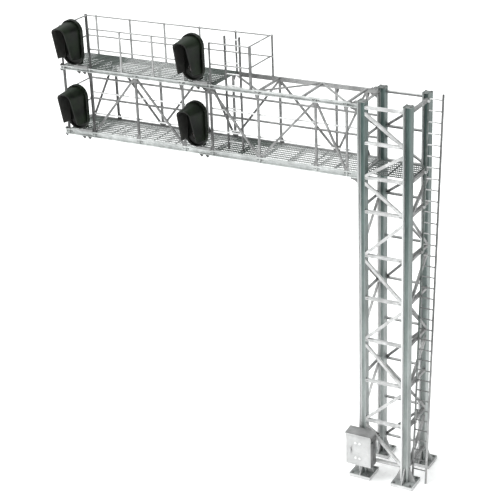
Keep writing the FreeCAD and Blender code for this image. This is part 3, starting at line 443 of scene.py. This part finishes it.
def laid(point, x_way, y_way, z_way):
    """A place at a point in mm, its three axes along the given ways."""
    axes = Matrix((x_way, y_way, z_way)).transposed().to_4x4()
    return Matrix.Translation(Vector(point) * MM) @ Matrix.Scale(MM, 4) @ axes


def millimetres(node):
    """The two corners of a CAD node's box, in mm."""
    low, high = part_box(node)
    return low / MM, high / MM


class Shape:
    """A mesh put together from bars, cut plates and turned parts, all in millimetres."""

    def __init__(self):
        self.mesh = bmesh.new()
        self.tone = 0

    def skin(self, loops, closed=False):
        """Join rings of points, each ring a list of vertices or one lone tip."""
        pairs = list(zip(loops, loops[1:])) + ([(loops[-1], loops[0])] if closed else [])
        for lower, upper in pairs:
            count = max(len(lower), len(upper))       # a lone tip is shared by every side
            for side in range(count):
                after = (side + 1) % count
                corners = [lower[side % len(lower)], lower[after % len(lower)],
                           upper[after % len(upper)], upper[side % len(upper)]]
                corners = [v for i, v in enumerate(corners) if v not in corners[:i]]
                face = self.mesh.faces.new(corners)
                face.material_index = self.tone

    def turned(self, profile, place, sides=12, closed=False):
        """A profile of (radius, height) turned about the place's Z."""
        loops = []
        for radius, height in profile:
            count = sides if radius > 0 else 1
            loops.append([self.mesh.verts.new(place @ Vector((
                radius * math.cos(2 * math.pi * side / sides),
                radius * math.sin(2 * math.pi * side / sides), height)))
                for side in range(count)])
        self.skin(loops, closed)
        return self

    def plate(self, outline, thickness, place, soft=0.03):
        """A convex outline in the place's XY plane, raised along its Z, with eased rims."""
        middle = sum((Vector(point) for point in outline), Vector((0, 0))) / len(outline)
        loops = []
        for height, inset in ((0, soft), (soft, 0), (thickness - soft, 0), (thickness, soft)):
            ring = []
            for point in outline:
                corner = Vector(point)
                corner += (middle - corner).normalized() * inset
                ring.append(self.mesh.verts.new(place @ Vector((corner.x, corner.y, height))))
            loops.append(ring)
        self.skin(loops)
        for ring in (list(reversed(loops[0])), loops[-1]):
            self.mesh.faces.new(ring).material_index = self.tone
        return self

    def bar(self, low, high, soft=0.03):
        """An upright bar between two opposite corners."""
        wide, deep, tall = (far - near for near, far in zip(low, high))
        return self.plate(((0, 0), (wide, 0), (wide, deep), (0, deep)), tall, aimed(low), soft)

    def rivet(self, point, normal, radius=0.13, height=0.09):
        """A domed rivet head."""
        profile = ((radius, 0), (radius * 0.94, height * 0.45), (radius * 0.6, height * 0.85),
                   (0, height))
        return self.turned(profile, aimed(point, normal), sides=10)

    def nut(self, point, normal, radius=0.36, height=0.3, tail=0.2):
        """A washer, a six-sided nut and the end of its bolt."""
        place = aimed(point, normal)
        self.turned(((radius * 1.35, 0), (radius * 1.35, 0.06), (0, 0.06)), place, sides=14)
        self.turned(((radius, 0.05), (radius, height), (radius * 0.84, height + 0.05),
                     (0, height + 0.05)), place, sides=6)
        return self.turned(((radius * 0.45, height), (radius * 0.45, height + tail),
                            (0, height + tail + 0.03)), place, sides=8)

    def piece(self, name, looks, body, slot, smooth=False):
        """Make the mesh an object that rides a body; looks is one look or one per tone."""
        bmesh.ops.recalc_face_normals(self.mesh, faces=list(self.mesh.faces))
        mesh = bpy.data.meshes.new(name)
        self.mesh.to_mesh(mesh)
        self.mesh.free()
        for polygon in mesh.polygons:
            polygon.use_smooth = smooth
        made = bpy.data.objects.new(name, mesh)
        bpy.context.scene.collection.objects.link(made)
        for look in (looks,) if isinstance(looks, str) else looks:
            made.data.materials.append(LOOKS[look])
        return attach(made, body)


# ------------------------------------------------------------ tower

def strut_rivets():
    """Two rivets through each end of every strut, on all four faces."""
    shape = Shape()
    for index, level in enumerate(STRUT_LEVELS):
        for along in (-4.82, -4.45, 4.45, 4.82):
            for side in (-1, 1):
                shape.rivet((along, side * FACE, level), (0, side, 0))
                if index not in BARE_LEVELS[side]:
                    shape.rivet((side * FACE, along, level), (side, 0, 0))
    shape.piece("strut_rivets", "fitting", "mast", "lattice_metal", smooth=True)


def column_caps():
    """A bolted cap on each column, and a plate over the joint of each top chord."""
    half, thick, bolt = 1.15, 0.22, 0.72
    cap_top, plate_top = COLUMN_TOP + thick, 106.6
    caps, plates, bolts = Shape(), Shape(), Shape()
    for x, y in CORNERS:
        caps.bar((x * COLUMN - half, y * COLUMN - half, COLUMN_TOP),
                 (x * COLUMN + half, y * COLUMN + half, cap_top))
        for a, b in CORNERS:
            bolts.nut((x * COLUMN + a * bolt, y * COLUMN + b * bolt, cap_top), UP,
                      radius=0.19, height=0.15, tail=0.06)
    for side in (-1, 1):
        near, far = sorted((side * 5.7, side * 6.6))
        plates.bar((-9.3, near, TOP_CHORD_TOP), (-FACE, far, plate_top))
        plates.plate(((0, 0), (1.5, 0), (1.5, 0.15), (0.9, 0.6), (0, 0.6)), 0.24,
                     laid((-FACE, side * 6.15 - 0.12, plate_top), (-1, 0, 0), UP, BACK))
        for x in (-9.0, -8.4):
            bolts.nut((x, side * 6.3, plate_top), UP, radius=0.17, height=0.14, tail=0.06)
    caps.piece("column_caps", "cap", "mast", "column_metal")
    plates.piece("chord_end_plates", "web", "mast", "arm_metal")
    bolts.piece("column_cap_bolts", "fitting", "mast", "fittings_metal")


def anchor_bolts():
    """Four nuts on each base plate, clear of the gussets."""
    out = 2.35
    shape = Shape()
    for x, y in CORNERS:
        for a, b in CORNERS:
            shape.nut((x * COLUMN + a * out, y * COLUMN + b * out, BASE_TOP), UP,
                      radius=0.3, height=0.26, tail=0.16)
    shape.piece("anchor_bolts", "fitting", "mast", "fittings_metal")


# ------------------------------------------------------------ arm and walkways

def grating_cross_bars():
    """The fine bars that tie each grating across, between the heavier ones."""
    pitch, width, end_gap, side_gap = 0.49, 0.13, 0.15, 0.1
    for name in GRATINGS:
        low, high = millimetres(name)
        length = high.x - low.x - 2 * end_gap
        count = round(length / pitch)
        step = length / count
        shape = Shape()
        for index in range(1, count):
            x = low.x + end_gap + index * step
            shape.bar((x - width / 2, low.y + side_gap, low.z + 0.03),
                      (x + width / 2, high.y - side_gap, low.z + 0.15), soft=0.02)
        wire = name.replace("grating", "wire")
        shape.piece(name + "_cross_bars", wire, "mast", "grating_metal")


def chord_details():
    """Stiffeners and rivets in the hollow of each channel, at every bay point."""
    half, gap, inset = 0.09, 0.2, 0.06
    plates, rivets = Shape(), Shape()
    for base, height in CHORDS:
        for side in (-1, 1):
            near, far = sorted((side * CHORD_WEB, side * (CHORD_OUTER - inset)))
            for x in STATIONS:
                plates.bar((x - half, near, base + gap), (x + half, far, base + height - gap))
                for shift in (-0.8, -0.4, 0.4, 0.8):
                    rivets.rivet((x + shift, side * CHORD_WEB, base + height / 2),
                                 (0, side, 0))
    plates.piece("chord_stiffeners", "front_chord", "mast", "arm_metal")
    rivets.piece("chord_rivets", "dark_fitting", "mast", "fittings_metal", smooth=True)


def web_plates():
    """A small plate with rivets at each end of each arm post."""
    inner, outer = 6.43, 6.51
    outline = ((-0.75, 0), (0.75, 0), (0.4, 1.25), (-0.4, 1.25))
    plates, rivets = Shape(), Shape()
    for x in STATIONS[1:]:
        for side in (-1, 1):
            for z, up in ((BOTTOM_CHORD_TOP, 1), (TOP_CHORD_BASE, -1)):
                place = laid((x, side * inner, z), (1, 0, 0), (0, 0, up), (0, side, 0))
                plates.plate(outline, 0.08, place, soft=0.02)
                for shift, rise in ((-0.42, 0.3), (0.42, 0.3), (0, 0.95)):
                    rivets.rivet((x + shift, side * outer, z + up * rise), (0, side, 0),
                                 radius=0.1, height=0.06)
    plates.piece("web_plates", "web", "mast", "arm_metal")
    rivets.piece("web_rivets", "dark_fitting", "mast", "fittings_metal", smooth=True)


def post_feet():
    """The foot of each upper railing post: a pad on the chord with a screw each side."""
    half, pad_top = 0.62, 106.53
    pads, screws = Shape(), Shape()
    posts = [(x, -1) for x in (-86.5, -76.5, -66.5, -57.2, -49.1, -37.4)]
    posts += [(x, 1) for x in (-92.2, -81.2, -70.2, -59.2, -48.2, -37.4)]
    for x, side in posts:
        near, far = sorted((side * 6.12, side * 6.49))
        pads.bar((x - half, near, TOP_CHORD_TOP), (x + half, far, pad_top), soft=0.02)
        for shift in (-0.45, 0.45):
            screws.rivet((x + shift, side * 6.3, pad_top), UP, radius=0.1, height=0.06)
    pads.piece("post_feet", "front_chord", "mast", "rail_metal")
    screws.piece("post_foot_screws", "fitting", "mast", "fittings_metal", smooth=True)


def chord_clamps():
    """Dark clamp plates and nuts at the tip of each front chord and below each head."""
    low, high, middle, thick = (-96.6, -6.62), (-95.75, -5.9), (-96.15, -6.25), 0.14
    washer = ((0.27, 0), (0.62, 0), (0.62, -0.12), (0.27, -0.12))
    nut = ((0.26, -0.12), (0.44, -0.12), (0.44, -0.42), (0.26, -0.42))
    shape = Shape()
    for base, height in CHORDS:
        top = base + height
        shape.bar(low + (top,), high + (top + thick,))
        shape.bar(low + (base - thick,), high + (base,))
        shape.nut(middle + (top + thick,), UP, radius=0.27, height=0.26, tail=0.22)
        shape.nut(middle + (base - thick,), DOWN, radius=0.27, height=0.26, tail=0.1)
        for head_x in HEAD_X:
            for shift in (0.4, 2.2):
                place = aimed((head_x + shift, -6.15, base))
                shape.turned(washer, place, sides=16, closed=True)
                shape.turned(nut, place, sides=6, closed=True)
    shape.piece("chord_clamps", "dark_fitting", "mast", "fittings_metal")


# ------------------------------------------------------------ cabinet

def cabinet_case_trim():
    """Roof lip, side louvres and cable glands on the case."""
    Shape().bar((-9.58, -10.97, 14.36), (-1.82, -10.88, 14.62)).piece(
        "cabinet_roof_lip", "door", "mast", "cabinet_paint")
    louvres = Shape()
    first, pitch = 10.2, 0.55
    for step in range(5):
        for x, out in ((-2.0, 1), (-9.4, -1)):
            place = laid((x, -8.9, first + pitch * step), BACK, UP, (0.5 * out, 0, 0))
            louvres.plate(((-0.8, 0), (0.8, 0), (0.7, 0.3), (-0.7, 0.3)), 0.22, place,
                          soft=0.04)
    louvres.piece("cabinet_louvres", "case", "mast", "cabinet_paint")
    glands = Shape()
    for x in (-7.6, -6.1, -4.6):
        glands.nut((x, -8.6, 5.0), DOWN, radius=0.38, height=0.3, tail=0.35)
    glands.piece("cabinet_glands", "fitting", "mast", "fittings_metal")


def cabinet_door_trim():
    """A pressed frame on the door and a plate behind its handle."""
    left, right, low, high, face = -8.95, -2.65, 5.55, 13.85, -10.725
    half, proud, sunk = 0.07, 0.06, 0.05
    rim = Shape()
    for x in (left, right):
        rim.bar((x - half, face - proud, low), (x + half, face + sunk, high))
    for z in (low, high):
        rim.bar((left, face - proud, z - half), (right, face + sunk, z + half))
    rim.piece("cabinet_door_frame", "door", "door", "cabinet_paint")
    Shape().bar((-8.15, face - 0.04, 8.3), (-7.65, face, 11.0), soft=0.02).piece(
        "cabinet_handle_plate", "door", "door", "cabinet_paint")


# ------------------------------------------------------------ signal heads

def head_middle(head):
    """The middle of the head's sunken face, in mm."""
    low, high = millimetres(head + "_backplate")
    return (low.x + high.x) / 2, high.y - RECESS, (low.z + high.z) / 2


def head_lenses(head):
    """Three lenses with fine moulded rings, green over yellow over red."""
    x, face, middle = head_middle(head)
    radius, dome, rings, groove = 1.2, 0.3, 9, 0.045
    profile = [(radius, 0.0)]
    for ring in range(rings, 0, -1):
        reach = radius * ring / rings
        rise = dome * (1 - (reach / 1.25) ** 2)
        profile += [(reach, rise), (reach - groove, rise + 0.05)]
    profile.append((0, dome + 0.04))
    shape = Shape()
    for tone, step in ((0, 1), (1, 0), (2, -1)):
        shape.tone = tone
        shape.turned(profile, aimed((x, face, middle + LENS_GAP * step), FRONT), sides=40)
    piece = shape.piece(head + "_ringed_lenses", ("green_lens", "yellow_lens", "red_lens"),
                        head, "lens")
    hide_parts(head + "_lenses")


def head_front(head):
    """A bezel round each lens, and screws round the rim of the backplate."""
    x, face, middle = head_middle(head)
    profile = ((1.21, 0), (1.5, 0), (1.5, 0.2), (1.4, 0.3), (1.27, 0.3), (1.21, 0.22))
    bezels = Shape()
    for step in (-1, 0, 1):
        bezels.turned(profile, aimed((x, face, middle + LENS_GAP * step), FRONT), sides=36,
                      closed=True)
    bezels.piece(head + "_bezels", "black", head, "head_black")
    half, reach = 3.0, 3.1              # the rim is two half rounds with straight sides between
    spots = []
    for angle in (20, 55, 90, 125, 160):
        turn = math.radians(angle)
        across, up = reach * math.cos(turn), reach * math.sin(turn)
        spots += [(across, -half - up), (across, half + up)]
    spots += [(-reach, 0), (reach, 0)]
    screws = Shape()
    for across, up in spots:
        screws.rivet((x + across, face - RECESS, middle + up), FRONT, radius=0.12, height=0.07)
    screws.piece(head + "_rim_screws", "worn_black", head, "head_black", smooth=True)


def head_rear(head):
    """The housing's rear cover with its hinges, latch and cable gland."""
    low, high = millimetres(head + "_housing")
    x, back, foot = (low.x + high.x) / 2, high.y, low.z
    place = laid((x, back, foot + 0.7), (-1, 0, 0), UP, BACK)
    outline = [(-1.35, 0), (1.35, 0), (1.35, 8.7), (1.1, 9.4), (0.5, 9.85), (-0.5, 9.85),
               (-1.1, 9.4), (-1.35, 8.7)]
    raised = [(0.72 * across, 1.3 + 0.72 * up) for across, up in outline]
    cover = Shape()
    cover.plate(outline, 0.16, place, soft=0.05)
    cover.plate(raised, 0.24, place, soft=0.06)
    cover.piece(head + "_rear_cover", "black", head, "head_black")
    hinge = ((0, 0), (0.15, 0), (0.15, 0.9), (0, 0.9))
    fittings = Shape()
    for rise in (2.0, 5.0, 8.0):
        fittings.turned(hinge, aimed((x + 1.48, back + 0.1, foot + rise)), sides=10)
    fittings.bar((x - 1.62, back, foot + 5.0), (x - 1.12, back + 0.26, foot + 5.9), soft=0.05)
    fittings.nut((x - 0.7, back, foot + 0.38), BACK, radius=0.26, height=0.2, tail=0.16)
    for shift in (-0.8, 0.8):
        for rise in (1.7, 8.0):
            fittings.rivet((x + shift, back + 0.16, foot + rise), BACK, radius=0.12)
    fittings.piece(head + "_rear_fittings", "worn_black", head, "head_black")


strut_rivets()
column_caps()
anchor_bolts()
grating_cross_bars()
chord_details()
web_plates()
post_feet()
chord_clamps()
cabinet_case_trim()
cabinet_door_trim()
for head_name in HEADS:
    head_lenses(head_name)
    head_front(head_name)
    head_rear(head_name)


# ------------------------------------------------------------ stage

def build_world():
    """Studio light: bright overhead and to the left, dimmer low down and to the right."""
    world = bpy.data.worlds.new("studio")
    bpy.context.scene.world = world
    world.use_nodes = True
    tree = world.node_tree
    split = tree.nodes.new("ShaderNodeSeparateXYZ")
    tree.links.new(tree.nodes.new("ShaderNodeTexCoord").outputs["Generated"],
                   split.inputs["Vector"])
    product = tree.nodes.new("ShaderNodeMath")
    product.operation = "MULTIPLY"
    ramps = (("Z", 0.0, 0.9, 0.30, 1.25), ("X", -0.8, 0.8, 1.35, 0.45))
    for index, (axis, *limits) in enumerate(ramps):
        node = tree.nodes.new("ShaderNodeMapRange")
        tree.links.new(split.outputs[axis], node.inputs["Value"])
        for socket, number in zip(("From Min", "From Max", "To Min", "To Max"), limits):
            node.inputs[socket].default_value = number
        tree.links.new(node.outputs["Result"], product.inputs[index])
    background = tree.nodes["Background"]
    background.inputs["Color"].default_value = (0.97, 1.0, 0.99, 1.0)
    tree.links.new(product.outputs[0], background.inputs["Strength"])


def build_sun():
    """A large soft sun from the left, in front and above."""
    shining = Vector((0.42, 0.38, -1.0))
    data = bpy.data.lights.new("soft_sun", "SUN")
    data.energy = 2.1
    data.angle = math.radians(35)
    lamp = bpy.data.objects.new("soft_sun", data)
    lamp.rotation_euler = shining.to_track_quat("-Z", "Y").to_euler()
    bpy.context.scene.collection.objects.link(lamp)


def build_floor():
    """A sheet of paper just under the base plates."""
    half, gap = 3.0, 0.02 * MM
    mesh = bpy.data.meshes.new("floor")
    mesh.from_pydata([(-half, -half, 0), (half, -half, 0), (half, half, 0), (-half, half, 0)],
                     [], [(0, 1, 2, 3)])
    floor = bpy.data.objects.new("floor", mesh)
    floor.location.z = CAD_BOX[0][2] - gap
    bpy.context.scene.collection.objects.link(floor)
    floor.data.materials.append(floor_paper("floor_paper"))


def build_camera():
    """A long lens, from the front right and above."""
    place = (0.138734, -0.324940, 0.22194)
    yaw, pitch, roll = (math.radians(angle) for angle in (29.195, -23.760, 2.186))
    data = bpy.data.cameras.new("camera")
    data.sensor_width = 36.0
    data.lens = 106.88
    data.clip_start = 0.01
    camera = bpy.data.objects.new("camera", data)
    view = (Matrix.Rotation(yaw, 3, "Z") @ Matrix.Rotation(pitch, 3, "X")
            @ Matrix.Rotation(roll, 3, "Y"))
    right, forward, up = view.col[0], view.col[1], view.col[2]
    axes = Matrix((right, up, -forward)).transposed()
    camera.matrix_world = Matrix.Translation(place) @ axes.to_4x4()
    bpy.context.scene.collection.objects.link(camera)
    bpy.context.scene.camera = camera


build_floor()
build_world()
build_sun()
build_camera()
bpy.context.scene.view_settings.view_transform = "Standard"
